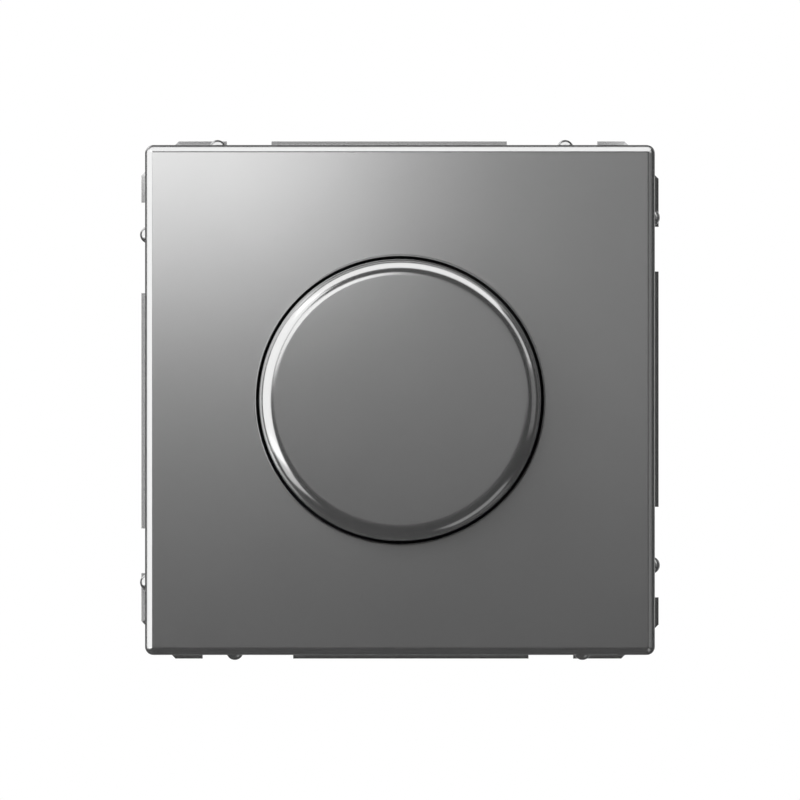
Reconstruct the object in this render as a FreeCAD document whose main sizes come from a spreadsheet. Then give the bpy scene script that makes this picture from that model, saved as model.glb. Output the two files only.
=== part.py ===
import FreeCAD, Part
import os
import re

import Sketcher
from FreeCAD import Placement, Rotation, Vector

# Flush-mounted rotary dimmer switch.
# Frame of the finished object: +Z up, +X right, the knob points to -Y.
# The origin is on the knob's axis, in the wall plane, which is the rear face of the support frame.
# Each piece is drawn lying on its back: x to the right, y up, z out of the wall.
# A height z is therefore a distance in front of the wall, and the insert has negative heights.

# Driving sizes in millimetres: name, value, what it is
SIZES = [
    ("plate_size", 70.5, "side of the square cover plate"),
    ("plate_front", 9.0, "height of the plate's face above the wall"),
    ("plate_rear", 1.3, "height of the rear edge of the skirt"),
    ("plate_corner", 1.1, "corner radius of the plate"),
    ("plate_edge", 1.0, "radius of the edge round the plate's face"),
    ("face_wall", 1.8, "wall of the plate's face"),
    ("skirt_wall", 1.8, "wall of the plate's skirt"),
    ("well_wall", 1.4, "wall of the round well"),
    ("well_floor", 1.6, "floor of the round well"),
    ("well_edge", 0.4, "radius of the edge of the well"),
    ("web_wall", 1.2, "thickness of the webs behind the face"),
    ("web_rear", 5.2, "height of the webs' rear edges"),
    ("guide_stand", 0.58, "how far the guide ribs stand out of the skirt"),
    ("guide_chamfer", 0.55, "chamfer of a guide rib at the corner of the plate"),
    ("guide_front", 5.8, "height of the guide ribs' front ends"),
    ("guide_rear", 2.6, "height of the guide ribs' rear ends"),
    ("guide_a_start", -31.2, "first guide rib, start"),
    ("guide_a_end", -24.0, "first guide rib, end"),
    ("guide_b_start", -17.8, "middle guide rib, start"),
    ("guide_b_end", 14.8, "middle guide rib, end"),
    ("guide_c_start", 27.35, "last guide rib, start"),
    ("guide_c_end", 31.65, "last guide rib, end"),
    ("bump_radius", 1.2, "radius of the snap bumps"),
    ("bump_stand", 0.74, "how far the snap bumps stand out of the skirt"),
    ("bump_height", 6.4, "height of the snap bumps above the wall"),
    ("bump_one", -25.25, "place of the first snap bump along a side"),
    ("bump_two", 22.86, "place of the second snap bump along a side"),
    ("knob_radius", 19.5, "radius of the knob"),
    ("knob_gap", 0.45, "gap between the knob and the well"),
    ("knob_front", 17.5, "height of the knob's face above the wall"),
    ("knob_rear", 7.0, "height of the knob's rear rim"),
    ("knob_shoulder", 2.4, "radius of the knob's shoulder"),
    ("knob_wall", 1.5, "side wall of the knob"),
    ("knob_face_wall", 1.8, "front wall of the knob"),
    ("hub_radius", 4.6, "radius of the knob's hub"),
    ("hub_rear", 9.4, "height of the hub's rear end"),
    ("spoke_wall", 1.1, "thickness of the spokes inside the knob"),
    ("spoke_rear", 10.8, "height of the spokes' rear edges"),
    ("shaft_radius", 3.0, "radius of the control shaft"),
    ("shaft_front", 15.0, "height of the shaft's front end"),
    ("shaft_flat", 1.5, "distance of the shaft's flat from its axis"),
    ("flat_rear", 8.2, "height where the front flat of the shaft ends"),
    ("push_travel", 1.5, "travel of the knob when it is pushed"),
    ("fit_gap", 0.05, "gap round pieces that turn or slide in one another"),
    ("thread_play", 0.02, "play of a screw in its thread"),
    ("loose_gap", 0.1, "gap round pieces that are put together by hand"),
    ("clip_sheet", 0.3, "sheet of the knob's grip spring"),
    ("clip_width", 3.0, "width of the knob's grip spring"),
    ("frame_rim", 9.5, "how far the support frame reaches past the housing, up and down"),
    ("frame_sheet", 1.0, "sheet of the support frame"),
    ("frame_cut", 5.0, "corner cut of the support frame"),
    ("frame_gap", 0.3, "gap between the housing and the support frame"),
    ("slot_inset", 4.5, "distance of the wall box screws from the support frame's edge"),
    ("slot_width", 3.6, "width of the slots for the wall box screws"),
    ("slot_length", 10.0, "length of the slots for the wall box screws"),
    ("flange_sheet", 1.8, "thickness of the housing's flange and front wall"),
    ("flange_reach", 2.4, "how far the flange reaches past the housing"),
    ("part_gap", 0.5, "gap between the potentiometer and the choke beside it"),
    ("wall_gap", 0.4, "gap between the housing's wall and what stands beside it"),
    ("sink_room", 8.8, "room for the shell screws beyond the heat sink"),
    ("housing_cut", 7.4, "corner cut of the housing"),
    ("housing_wall", 1.8, "wall of the housing"),
    ("split_depth", 10.0, "depth of the joint between the two shells"),
    ("rear_bevel", 1.2, "bevel round the rear of the housing"),
    ("recess_radius", 9.6, "radius of the recess for the bush nut"),
    ("recess_depth", 2.2, "depth of the recess for the bush nut"),
    ("bush_radius", 5.0, "radius of the threaded bush"),
    ("bush_front", 7.5, "height of the bush's front end"),
    ("bush_flange", 7.5, "radius of the bush's flange"),
    ("bush_flange_sheet", 0.8, "thickness of the bush's flange"),
    ("bush_bevel", 0.5, "bevel at the front of the bush"),
    ("washer_radius", 8.2, "radius of the bush washer"),
    ("washer_sheet", 0.4, "thickness of the bush washer"),
    ("washer_tooth", 1.2, "length of the washer's teeth"),
    ("washer_gap", 1.0, "gap between the washer's teeth"),
    ("nut_flats", 14.0, "width across flats of the bush nut"),
    ("nut_height", 1.7, "height of the bush nut"),
    ("clamp_radius", 8.5, "radius of the plate nut"),
    ("clamp_height", 2.2, "height of the plate nut"),
    ("clamp_bevel", 0.4, "bevel of the plate nut"),
    ("dent_radius", 1.2, "radius of the plate nut's grip dents"),
    ("dent_offset", 0.5, "distance of a grip dent's centre from the nut's edge"),
    ("pot_size", 17.0, "side of the square control cases"),
    ("pot_depth", 7.0, "depth of the potentiometer case"),
    ("pot_front_wall", 1.2, "front wall of the potentiometer case"),
    ("pot_wall", 0.9, "least side wall of the potentiometer case"),
    ("case_corner", 1.0, "corner radius of the control cases"),
    ("track_sheet", 0.6, "thickness of the resistive track"),
    ("track_margin", 0.4, "gap round the resistive track"),
    ("track_width", 3.0, "width of the resistive track"),
    ("rotor_margin", 0.6, "gap round the wiper disc"),
    ("track_gap", 3.0, "gap of the resistive track"),
    ("rotor_sheet", 2.4, "thickness of the wiper disc"),
    ("rotor_hub", 4.6, "radius of the wiper disc's hub"),
    ("wiper_sheet", 0.25, "sheet of the wiper contact"),
    ("wiper_rise", 0.9, "how far the contact dome rises from its sheet"),
    ("wiper_width", 2.4, "width of the wiper contact"),
    ("wiper_dome", 0.5, "radius of the contact dome"),
    ("switch_depth", 7.0, "depth of the push switch case"),
    ("switch_wall", 1.2, "wall of the push switch case"),
    ("plunger_flange", 4.4, "radius of the plunger's flange"),
    ("plunger_sheet", 1.0, "thickness of the plunger's flange"),
    ("plunger_room", 0.8, "room round the plunger's flange"),
    ("plunger_tail", 1.3, "radius of the plunger's tail"),
    ("tail_length", 2.4, "length of the plunger's tail"),
    ("bridge_margin", 1.3, "gap between the contact bridge and the case's wall"),
    ("bridge_width", 2.2, "width of the contact bridge"),
    ("bridge_sheet", 0.4, "sheet of the contact bridge"),
    ("contact_width", 1.0, "thickness of the fixed contacts"),
    ("contact_spare", 0.15, "gap left in the push switch when the knob is pushed"),
    ("spring_radius", 2.3, "mean radius of the switch spring"),
    ("spring_wire", 0.2, "radius of the spring's wire"),
    ("spring_turns", 4.0, "turns of the switch spring"),
    ("board_sheet", 1.6, "thickness of the circuit board"),
    ("choke_up", 2.0, "place of the choke up"),
    ("choke_radius", 4.9, "radius of the choke's end discs"),
    ("choke_length", 11.0, "length of the choke's core"),
    ("choke_disc", 1.2, "thickness of the choke's end discs"),
    ("choke_post", 2.4, "radius of the choke's post"),
    ("winding_radius", 4.4, "radius of the choke's winding"),
    ("capacitor_up", 1.0, "place of the capacitor up"),
    ("capacitor_width", 6.2, "width of the capacitor"),
    ("capacitor_length", 13.0, "length of the capacitor"),
    ("capacitor_height", 11.0, "height of the capacitor on the board"),
    ("capacitor_bevel", 0.5, "bevel of the capacitor's case"),
    ("sink_width", 20.0, "width of the heat sink"),
    ("sink_sheet", 1.5, "sheet of the heat sink"),
    ("triac_gap", 1.8, "gap between the potentiometer and the triac"),
    ("sink_foot", 4.0, "length of the heat sink's foot"),
    ("triac_width", 10.0, "width of the triac"),
    ("triac_depth", 4.4, "thickness of the triac"),
    ("triac_tab", 1.3, "thickness of the triac's tab"),
    ("triac_legs", 3.0, "length of the triac's legs"),
    ("triac_body", 7.0, "length of the triac's body"),
    ("triac_tab_length", 4.6, "length of the triac's tab"),
    ("leg_pitch", 2.54, "pitch of the triac's legs"),
    ("leg_width", 0.8, "width of the triac's legs"),
    ("leg_sheet", 0.6, "sheet of the triac's legs"),
    ("triac_screw", 1.35, "radius of the triac's screw"),
    ("triac_screw_head", 2.0, "radius of the head of the triac's screw"),
    ("triac_screw_rise", 1.4, "height of the head of the triac's screw"),
    ("trimmer_radius", 3.3, "radius of the trimmer's case"),
    ("trimmer_depth", 4.0, "depth of the trimmer's case"),
    ("trimmer_disc", 2.2, "radius of the trimmer's slotted disc"),
    ("trimmer_hollow", 2.0, "depth of the hollow that holds the slotted disc"),
    ("trimmer_sink", 0.4, "depth of the slotted disc behind the housing's face"),
    ("block_depth", 12.0, "depth of the terminal block"),
    ("block_gap", 4.5, "gap between the potentiometer and the terminal block"),
    ("block_inset", 2.0, "distance of the terminal block from the top of the housing"),
    ("clamp_margin", 1.4, "depth of the terminal block in front of its clamps"),
    ("terminal_pitch", 10.0, "pitch of the terminals"),
    ("entry_radius", 1.6, "radius of a wire entry"),
    ("entry_rise", 4.6, "height of the wire entries above the block's lower face"),
    ("cage_width", 5.6, "width of a terminal clamp"),
    ("cage_height", 6.4, "height of a terminal clamp"),
    ("cage_depth", 4.6, "depth of a terminal clamp"),
    ("core_radius", 1.1, "radius of a clamp's hole for the wire"),
    ("clamp_screw", 1.5, "radius of a terminal screw"),
    ("clamp_screw_head", 2.1, "radius of a terminal screw's head"),
    ("clamp_screw_rise", 1.4, "height of a terminal screw's head"),
    ("shell_screw", 1.2, "radius of a shell screw"),
    ("shell_screw_head", 2.2, "radius of a shell screw's head"),
    ("shell_screw_rise", 1.3, "height of a shell screw's head"),
    ("shell_screw_length", 18.0, "length of a shell screw under its head"),
    ("pilot_spare", 0.5, "depth of a pilot hole beyond its screw"),
    ("boss_wall", 1.5, "wall of the screw bosses"),
    ("boss_gap", 0.7, "gap between the screw bosses and the heat sink"),
    ("vent_width", 1.4, "width of a vent slot"),
    ("vent_length", 18.0, "length of a vent slot"),
    ("vent_pitch", 3.6, "pitch of the vent slots"),
    ("vent_count", 5, "number of vent slots"),
    ("claw_offset", 2.1, "distance of a claw's hinge from the housing"),
    ("claw_hinge_depth", 0.8, "depth of a claw's hinge behind the wall plane"),
    ("claw_sheet", 1.0, "sheet of a claw"),
    ("claw_width", 10.0, "width of a claw"),
    ("claw_length", 19.0, "depth of a claw's foot behind the wall plane"),
    ("claw_foot_reach", 4.7, "distance of a claw's teeth from its hinge"),
    ("claw_tooth", 1.6, "length of a claw's teeth"),
    ("tooth_gap", 2.0, "gap between a claw's teeth"),
    ("claw_screw_offset", 2.3, "distance of a claw screw from its claw's hinge"),
    ("claw_screw", 1.5, "radius of a claw screw"),
    ("claw_screw_head", 2.6, "radius of a claw screw's head"),
    ("claw_screw_rise", 2.0, "height of a claw screw's head"),
    ("claw_screw_gap", 0.2, "gap between a claw screw's head and the support frame"),
    ("claw_screw_tip", 2.5, "length of a claw screw beyond its claw"),
    ("tip_bevel", 0.6, "bevel at the end of a claw screw"),
    ("cross_reach", 1.8, "reach of a claw screw's cross drive from its axis"),
    ("claw_notch", 1.8, "half width of the support frame's notch round a claw screw"),
    ("claw_bay", 3.6, "half width of the flange's bay round a claw screw's head"),
    ("drive_slot", 0.8, "width of the screwdriver slots"),
]

# Sizes that follow from the driving sizes
RULES = {
    "plate_half": "plate_size / 2",
    "skirt_half": "plate_size / 2 - skirt_wall",
    "face_rear": "plate_front - face_wall",
    "shell_front": "frame_sheet + flange_sheet",
    "floor_front": "shell_front + well_floor",
    "well_radius": "knob_radius + knob_gap",
    "well_outer": "well_radius + well_wall",
    "guide_edge": "plate_half + guide_stand",
    "bump_centre": "plate_half + bump_stand - bump_radius",
    "knob_inner": "knob_radius - knob_wall",
    "knob_ceiling": "knob_front - knob_face_wall",
    "shaft_bore": "shaft_radius + fit_gap",
    "bush_hole": "bush_radius + loose_gap",
    "clip_low": "shaft_flat + fit_gap",
    "clip_high": "clip_low + clip_sheet",
    "half_width": "pot_size / 2 + part_gap + 2 * choke_radius + wall_gap + housing_wall",
    "half_height": "sink_room - sink_low",
    "frame_half": "half_height + frame_rim",
    "slot_radius": "frame_half - slot_inset",
    "pot_bore": "pot_size / 2 - pot_wall",
    "track_outer": "pot_bore - track_margin",
    "track_inner": "track_outer - track_width",
    "rotor_radius": "pot_bore - rotor_margin",
    "bridge_length": "pot_size - 2 * switch_wall - 2 * bridge_margin",
    "board_width": "2 * (half_width - housing_wall - wall_gap)",
    "board_low": "sink_low + 2 * loose_gap",
    "board_high": "block_low - 2 * frame_gap",
    "choke_across": "pot_size / 2 + part_gap + choke_radius",
    "capacitor_across": "housing_wall + 2 * wall_gap + capacitor_width / 2 - half_width",
    "sink_low": "-1 * (pot_size / 2 + triac_gap + triac_depth + sink_sheet)",
    "trimmer_across": "-1 * (sink_width / 2 + trimmer_radius + frame_gap)",
    "trimmer_up": "board_low + trimmer_radius - frame_gap",
    "block_half": "half_width - housing_cut + block_inset - loose_gap",
    "block_low": "pot_size / 2 + block_gap",
    "block_high": "half_height - block_inset",
    "entry_depth": "block_depth - cage_depth - clamp_margin",
    "entry_up": "block_low + entry_rise",
    "housing_depth": "block_depth - board_front",
    "shell_screw_across": "half_width - housing_cut - loose_gap",
    "shell_screw_up": "sink_low - boss_radius - boss_gap",
    "recess_floor": "shell_front - recess_depth",
    "bush_seat": "recess_floor - flange_sheet",
    "pot_front": "bush_seat - bush_flange_sheet",
    "pot_rear": "pot_front - pot_depth",
    "track_rear": "pot_front - pot_front_wall - track_sheet",
    "rotor_front": "track_rear - fit_gap - wiper_rise - wiper_sheet",
    "switch_rear": "pot_rear - switch_depth",
    "shaft_rear": "pot_rear - fit_gap",
    "plunger_front": "shaft_rear - fit_gap",
    "flange_front": "pot_rear - switch_wall - fit_gap",
    "flange_rear": "flange_front - plunger_sheet",
    "bridge_rear": "flange_rear - bridge_sheet",
    "contact_gap": "push_travel + contact_spare",
    "board_front": "switch_rear",
    "board_rear": "board_front - board_sheet",
    "block_rear": "-1 * housing_depth",
    "block_front": "block_depth - housing_depth",
    "cage_rear": "entry_depth - housing_depth",
    "chamber_half": "cage_width / 2 + fit_gap",
    "screw_seat": "entry_up + cage_height / 2 + loose_gap",
    "boss_radius": "shell_screw + boss_wall",
    "shell_head_seat": "shell_front - shell_screw_rise - loose_gap",
    "claw_hinge": "half_width + claw_offset",
    "claw_reach": "claw_hinge + claw_foot_reach",
    "claw_screw_across": "claw_hinge + claw_screw_offset",
    "claw_inner": "claw_hinge - claw_sheet / 2",
    "claw_outer": "claw_hinge + claw_sheet / 2",
    "claw_top": "claw_sheet / 2 - fit_gap - claw_hinge_depth",
    "claw_foot": "-1 * claw_length",
    "claw_head_seat": "frame_sheet + claw_screw_gap",
}

NAMES = {name for name, value, meaning in SIZES}

doc = FreeCAD.newDocument("rotary_dimmer")
sheet = doc.addObject("Spreadsheet::Sheet", "dims")
for line, (name, value, meaning) in enumerate(SIZES, 1):
    sheet.set(f"A{line}", meaning)
    sheet.set(f"B{line}", str(value))
    sheet.setAlias(f"B{line}", name)
doc.recompute()

# Smallest volume that a cut has to take away
LEAST_CUT = 0.001

pieces = []


def bound(rule):
    """Writes a rule in the sheet's own names, so that the document can work it out."""

    def spell(found):
        word = found.group(0)
        if word in RULES:
            return "(" + bound(RULES[word]) + ")"
        return "dims." + word if word in NAMES else word

    return re.sub(r"[a-z][a-z_]*", spell, str(rule))


def size(rule):
    """Value of a rule in millimetres."""
    return float(sheet.evalExpression(bound(rule)))


def piece(label, across="0", up="0", out="0"):
    """A new piece: drawn lying on its back, then stood up at its place on the wall."""
    body = doc.addObject("PartDesign::Body", label)
    body.Label = label
    body.AllowCompound = True
    body.Placement = Placement(Vector(0, 0, 0), Rotation(Vector(1, 0, 0), 90))
    body.setExpression("Placement.Base.x", bound(across))
    body.setExpression("Placement.Base.y", bound(f"-1 * ({out})"))
    body.setExpression("Placement.Base.z", bound(up))
    pieces.append(body)
    return body


def origin_part(body, role):
    """Plane or axis of the piece's own origin."""
    return next(part for part in body.Origin.OriginFeatures if part.Role == role)


def sketch(body, name, plane, lift):
    """An empty sketch on a plane of the piece, moved along the plane's normal."""
    drawing = body.newObject("Sketcher::SketchObject", name)
    drawing.AttachmentSupport = (origin_part(body, plane), "")
    drawing.MapMode = "FlatFace"
    drawing.setExpression("AttachmentOffset.Base.z", bound(lift))
    return drawing


def hold(drawing, kind, *where, rule):
    """Adds one dimension and ties it to the sheet."""
    index = drawing.addConstraint(Sketcher.Constraint(kind, *where, size(rule)))
    drawing.setExpression(f"Constraints[{index}]", bound(rule))


def outline(body, name, corners, plane="XY_Plane", lift="0"):
    """A closed outline of straight edges, each corner held by two dimensions."""
    drawing = sketch(body, name, plane, lift)
    spots = [Vector(size(across), size(up), 0) for across, up in corners]
    for index, spot in enumerate(spots):
        drawing.addGeometry(Part.LineSegment(spot, spots[(index + 1) % len(spots)]))
    for index in range(len(spots)):
        following = (index + 1) % len(spots)
        drawing.addConstraint(Sketcher.Constraint("Coincident", index, 2, following, 1))
    for index, (across, up) in enumerate(corners):
        hold(drawing, "DistanceX", -1, 1, index, 1, rule=across)
        hold(drawing, "DistanceY", -1, 1, index, 1, rule=up)
    return drawing


def circles(body, name, spots, plane="XY_Plane", lift="0"):
    """Circles, each given by its centre and its radius."""
    drawing = sketch(body, name, plane, lift)
    for index, (across, up, radius) in enumerate(spots):
        centre = Vector(size(across), size(up), 0)
        drawing.addGeometry(Part.Circle(centre, Vector(0, 0, 1), size(radius)))
        hold(drawing, "Radius", index, rule=radius)
        hold(drawing, "DistanceX", -1, 1, index, 3, rule=across)
        hold(drawing, "DistanceY", -1, 1, index, 3, rule=up)
    return drawing


def box_corners(low_across, high_across, low_up, high_up):
    """Corners of an upright rectangle."""
    return [
        (low_across, low_up),
        (high_across, low_up),
        (high_across, high_up),
        (low_across, high_up),
    ]


def cut_corners(half_across, half_up, cut):
    """Corners of a rectangle about the axis with its four corners cut off."""
    near_across = f"{half_across} - {cut}"
    near_up = f"{half_up} - {cut}"
    quarter = [(half_across, near_up), (near_across, half_up)]
    corners = list(quarter)
    corners += [(f"-1 * ({across})", up) for across, up in reversed(quarter)]
    corners += [(f"-1 * ({across})", f"-1 * ({up})") for across, up in quarter]
    corners += [(across, f"-1 * ({up})") for across, up in reversed(quarter)]
    return corners


def pad(body, drawing, length, reverse=False, both_ways=False):
    """Adds the drawing's area, drawn out along its normal."""
    feature = body.newObject("PartDesign::Pad", drawing.Name + "_pad")
    feature.Profile = drawing
    feature.setExpression("Length", bound(length))
    feature.Reversed = reverse
    if both_ways:
        feature.SideType = "Symmetric"
    return feature


def pocket(body, drawing, depth, reverse=False, both_ways=False):
    """Cuts the drawing's area, against its normal."""
    doc.recompute()
    before = body.Shape.Volume
    feature = body.newObject("PartDesign::Pocket", drawing.Name + "_pocket")
    feature.Profile = drawing
    feature.setExpression("Length", bound(depth))
    feature.Reversed = reverse
    if both_ways:
        feature.SideType = "Symmetric"
    doc.recompute()
    if before - body.Shape.Volume < LEAST_CUT:
        raise ValueError(f"{feature.Name} cuts nothing")
    return feature


def turned(body, name, corners):
    """Adds a solid of revolution about the piece's z axis: radius and height of each corner."""
    drawing = outline(body, name, corners, "XZ_Plane")
    feature = body.newObject("PartDesign::Revolution", name + "_turned")
    feature.Profile = drawing
    feature.ReferenceAxis = (drawing, ["V_Axis"])
    feature.Angle = 360
    return feature


def around(body, name, originals, count):
    """Repeats features evenly round the piece's z axis."""
    doc.recompute()
    pattern = body.newObject("PartDesign::PolarPattern", name)
    pattern.Originals = originals
    pattern.Axis = (origin_part(body, "Z_Axis"), [""])
    pattern.Angle = 360
    pattern.Occurrences = count
    body.Tip = pattern
    return pattern


def row_of(body, name, originals, axis, pitch, count):
    """Repeats features along an axis of the piece."""
    doc.recompute()
    pattern = body.newObject("PartDesign::LinearPattern", name)
    pattern.Originals = originals
    pattern.Direction = (origin_part(body, axis), [""])
    pattern.Occurrences = count
    pattern.setExpression("Length", bound(f"{pitch} * ({count} - 1)"))
    body.Tip = pattern
    return pattern


def edges_where(body, test):
    """Names of the edges whose middle point passes the test."""
    doc.recompute()
    shape = body.Tip.Shape
    names = []
    for index, edge in enumerate(shape.Edges, 1):
        middle = edge.valueAt((edge.FirstParameter + edge.LastParameter) / 2)
        if test(edge, middle):
            names.append(f"Edge{index}")
    return names


def rounded(body, name, radius, test):
    """Rounds the edges that pass the test."""
    names = edges_where(body, test)
    feature = body.newObject("PartDesign::Fillet", name)
    feature.Base = (body.Group[-2], names)
    feature.setExpression("Radius", bound(radius))
    doc.recompute()
    return feature


def bevelled(body, name, width, test):
    """Chamfers the edges that pass the test."""
    names = edges_where(body, test)
    feature = body.newObject("PartDesign::Chamfer", name)
    feature.Base = (body.Group[-2], names)
    feature.setExpression("Size", bound(width))
    doc.recompute()
    return feature


def near(value, target):
    """True where two lengths are the same."""
    return abs(value - target) < 0.001


def at_height(rule):
    """Test for edges that lie at one height."""
    height = size(rule)
    return lambda edge, middle: near(edge.BoundBox.ZMin, height) and near(edge.BoundBox.ZMax, height)


def is_upright(edge, middle):
    """Test for straight edges along the piece's z axis."""
    return near(edge.BoundBox.XLength, 0) and near(edge.BoundBox.YLength, 0)


def drive_slot(body, name, head_front, half_length, centre=("0", "0"), axis_up=False):
    """A screwdriver slot across a screw's head."""
    across, up = centre
    corners = box_corners(
        f"{across} - {half_length}",
        f"{across} + {half_length}",
        f"{up} - drive_slot / 2",
        f"{up} + drive_slot / 2",
    )
    if axis_up:
        corners = [(second, first) for first, second in corners]
    drawing = outline(body, name, corners, lift=head_front)
    return pocket(body, drawing, "drive_slot")


# Cover plate: one moulding with a skirt, a round well, webs, guide ribs and snap bumps
def make_cover_plate():
    body = piece("cover_plate")
    square = box_corners("-1 * plate_half", "plate_half", "-1 * plate_half", "plate_half")
    pad(body, outline(body, "plate_square", square, lift="plate_rear"), "plate_front - plate_rear")
    rounded(body, "plate_corners", "plate_corner", is_upright)
    rounded(body, "plate_edges", "plate_edge", at_height("plate_front"))
    hollow = box_corners("-1 * skirt_half", "skirt_half", "-1 * skirt_half", "skirt_half")
    pocket(body, outline(body, "plate_hollow", hollow, lift="plate_rear"), "face_rear - plate_rear", True)
    well = circles(body, "well_outside", [("0", "0", "well_outer")], lift="shell_front")
    pad(body, well, "plate_front - face_wall / 2 - shell_front")
    for name, turn, reach in (("web_straight", 0, "skirt_half"), ("web_corner", 45, "skirt_half * sqrt(2)")):
        corners = box_corners(
            "well_radius + well_wall / 2",
            f"{reach} + skirt_wall / 2",
            "-1 * web_wall / 2",
            "web_wall / 2",
        )
        drawing = outline(body, name, corners, lift="web_rear")
        drawing.AttachmentOffset = Placement(Vector(0, 0, size("web_rear")), Rotation(Vector(0, 0, 1), turn))
        around(body, name + "s", [pad(body, drawing, "face_rear + face_wall / 2 - web_rear")], 4)
    opening = circles(body, "well_opening", [("0", "0", "well_radius")], lift="plate_front")
    pocket(body, opening, "plate_front - floor_front")
    passage = circles(body, "bush_passage", [("0", "0", "bush_hole")], lift="floor_front")
    pocket(body, passage, "well_floor")
    radius = size("well_radius")
    front = at_height("plate_front")
    rounded(
        body,
        "well_rim",
        "well_edge",
        lambda edge, middle: front(edge, middle) and near(edge.BoundBox.XLength, 2 * radius),
    )
    guides = []
    for name, start, end, cut_start, cut_end in (
        ("guide_a", "guide_a_start", "guide_a_end", "guide_chamfer", "0"),
        ("guide_b", "guide_b_start", "guide_b_end", "0", "0"),
        ("guide_c", "guide_c_start", "guide_c_end", "0", "guide_chamfer"),
    ):
        root = "plate_half - skirt_wall / 2"
        corners = [
            (start, root),
            (end, root),
            (end, f"guide_edge - {cut_end}"),
            (f"{end} - {cut_end}", "guide_edge"),
            (f"{start} + {cut_start}", "guide_edge"),
            (start, f"guide_edge - {cut_start}"),
        ]
        if cut_end == "0":
            corners.pop(3)
        if cut_start == "0":
            corners.pop()
        drawing = outline(body, name, corners, lift="guide_rear")
        guides.append(pad(body, drawing, "guide_front - guide_rear"))
    for name, place in (("bump_first", "bump_one"), ("bump_second", "bump_two")):
        ball = body.newObject("PartDesign::AdditiveSphere", name)
        ball.AttachmentSupport = (origin_part(body, "XY_Plane"), "")
        ball.MapMode = "FlatFace"
        ball.setExpression("Radius", bound("bump_radius"))
        ball.setExpression("AttachmentOffset.Base.x", bound(place))
        ball.setExpression("AttachmentOffset.Base.y", bound("bump_centre"))
        ball.setExpression("AttachmentOffset.Base.z", bound("bump_height"))
        guides.append(ball)
    around(body, "guides_all_round", guides, 4)


# Knob: one moulding with a rounded shoulder, a hub with a flat-sided bore, and spokes
def make_rotary_knob():
    body = piece("rotary_knob")
    turned(
        body,
        "knob_cap",
        [
            ("0", "knob_front"),
            ("knob_radius", "knob_front"),
            ("knob_radius", "knob_rear"),
            ("knob_inner", "knob_rear"),
            ("knob_inner", "knob_ceiling"),
            ("0", "knob_ceiling"),
        ],
    )
    radius = size("knob_radius")
    front = at_height("knob_front")
    rounded(
        body,
        "knob_round",
        "knob_shoulder",
        lambda edge, middle: front(edge, middle) and near(edge.BoundBox.XLength, 2 * radius),
    )
    hub = circles(body, "knob_hub", [("0", "0", "hub_radius")], lift="hub_rear")
    pad(body, hub, "knob_ceiling + knob_face_wall / 2 - hub_rear")
    corners = box_corners(
        "hub_radius - knob_wall",
        "knob_inner + knob_wall / 2",
        "-1 * spoke_wall / 2",
        "spoke_wall / 2",
    )
    drawing = outline(body, "spoke", corners, lift="spoke_rear")
    spoke = pad(body, drawing, "knob_ceiling + knob_face_wall / 2 - spoke_rear")
    around(body, "spokes", [spoke], 6)
    bore = circles(body, "knob_bore", [("0", "0", "shaft_bore")], lift="hub_rear")
    pocket(body, bore, "shaft_front + loose_gap - hub_rear", True)
    flat = box_corners("-1 * shaft_radius", "shaft_radius", "clip_high + fit_gap", "shaft_bore")
    rear = outline(body, "bore_flat", flat, lift="hub_rear")
    pad(body, rear, "knob_ceiling - hub_rear")


def make_knob_grip_spring():
    body = piece("knob_grip_spring")
    corners = box_corners("-1 * clip_width / 2", "clip_width / 2", "clip_low", "clip_high")
    leaf = outline(body, "spring_leaf", corners, lift="hub_rear + loose_gap")
    pad(body, leaf, "shaft_front - hub_rear - 2 * loose_gap")


# Shaft, bush, washer and nuts
def make_control_shaft():
    body = piece("control_shaft")
    rod = circles(body, "shaft_rod", [("0", "0", "shaft_radius")], lift="shaft_rear")
    pad(body, rod, "shaft_front - shaft_rear")
    bevelled(body, "shaft_tip", "drive_slot / 2", at_height("shaft_front"))
    side = box_corners("-1 * shaft_radius", "shaft_radius", "shaft_flat", "2 * shaft_radius")
    pocket(body, outline(body, "front_flat", side, lift="shaft_front"), "shaft_front - flat_rear")
    rear = outline(body, "rear_flat", side, lift="pot_front - pot_front_wall")
    pocket(body, rear, "pot_front - pot_front_wall - shaft_rear")


def make_control_bush():
    body = piece("control_bush")
    turned(
        body,
        "bush_wall",
        [
            ("shaft_bore", "pot_front"),
            ("bush_flange", "pot_front"),
            ("bush_flange", "bush_seat"),
            ("bush_radius", "bush_seat"),
            ("bush_radius", "bush_front - bush_bevel"),
            ("bush_radius - bush_bevel", "bush_front"),
            ("shaft_bore", "bush_front"),
        ],
    )


def make_bush_washer():
    body = piece("bush_washer")
    ring = circles(
        body,
        "washer_ring",
        [("0", "0", "washer_radius"), ("0", "0", "bush_hole")],
        lift="recess_floor",
    )
    pad(body, ring, "washer_sheet")
    tooth = box_corners(
        "washer_radius - washer_tooth",
        "2 * washer_radius",
        "-1 * washer_gap / 2",
        "washer_gap / 2",
    )
    gap = outline(body, "tooth_gap", tooth, lift="recess_floor + washer_sheet")
    around(body, "teeth", [pocket(body, gap, "washer_sheet")], 12)


def make_bush_nut():
    body = piece("bush_nut")
    side = "nut_flats / sqrt(3)"
    corners = []
    for across, up in ((1, 0), (0.5, 1), (-0.5, 1), (-1, 0), (-0.5, -1), (0.5, -1)):
        corners.append((f"{across} * {side}", f"{up} * nut_flats / 2"))
    hexagon = outline(body, "nut_hexagon", corners, lift="recess_floor + washer_sheet")
    pad(body, hexagon, "nut_height")
    nut_front = "recess_floor + washer_sheet + nut_height"
    hole = circles(body, "nut_hole", [("0", "0", "bush_hole")], lift=nut_front)
    pocket(body, hole, "nut_height")


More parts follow.
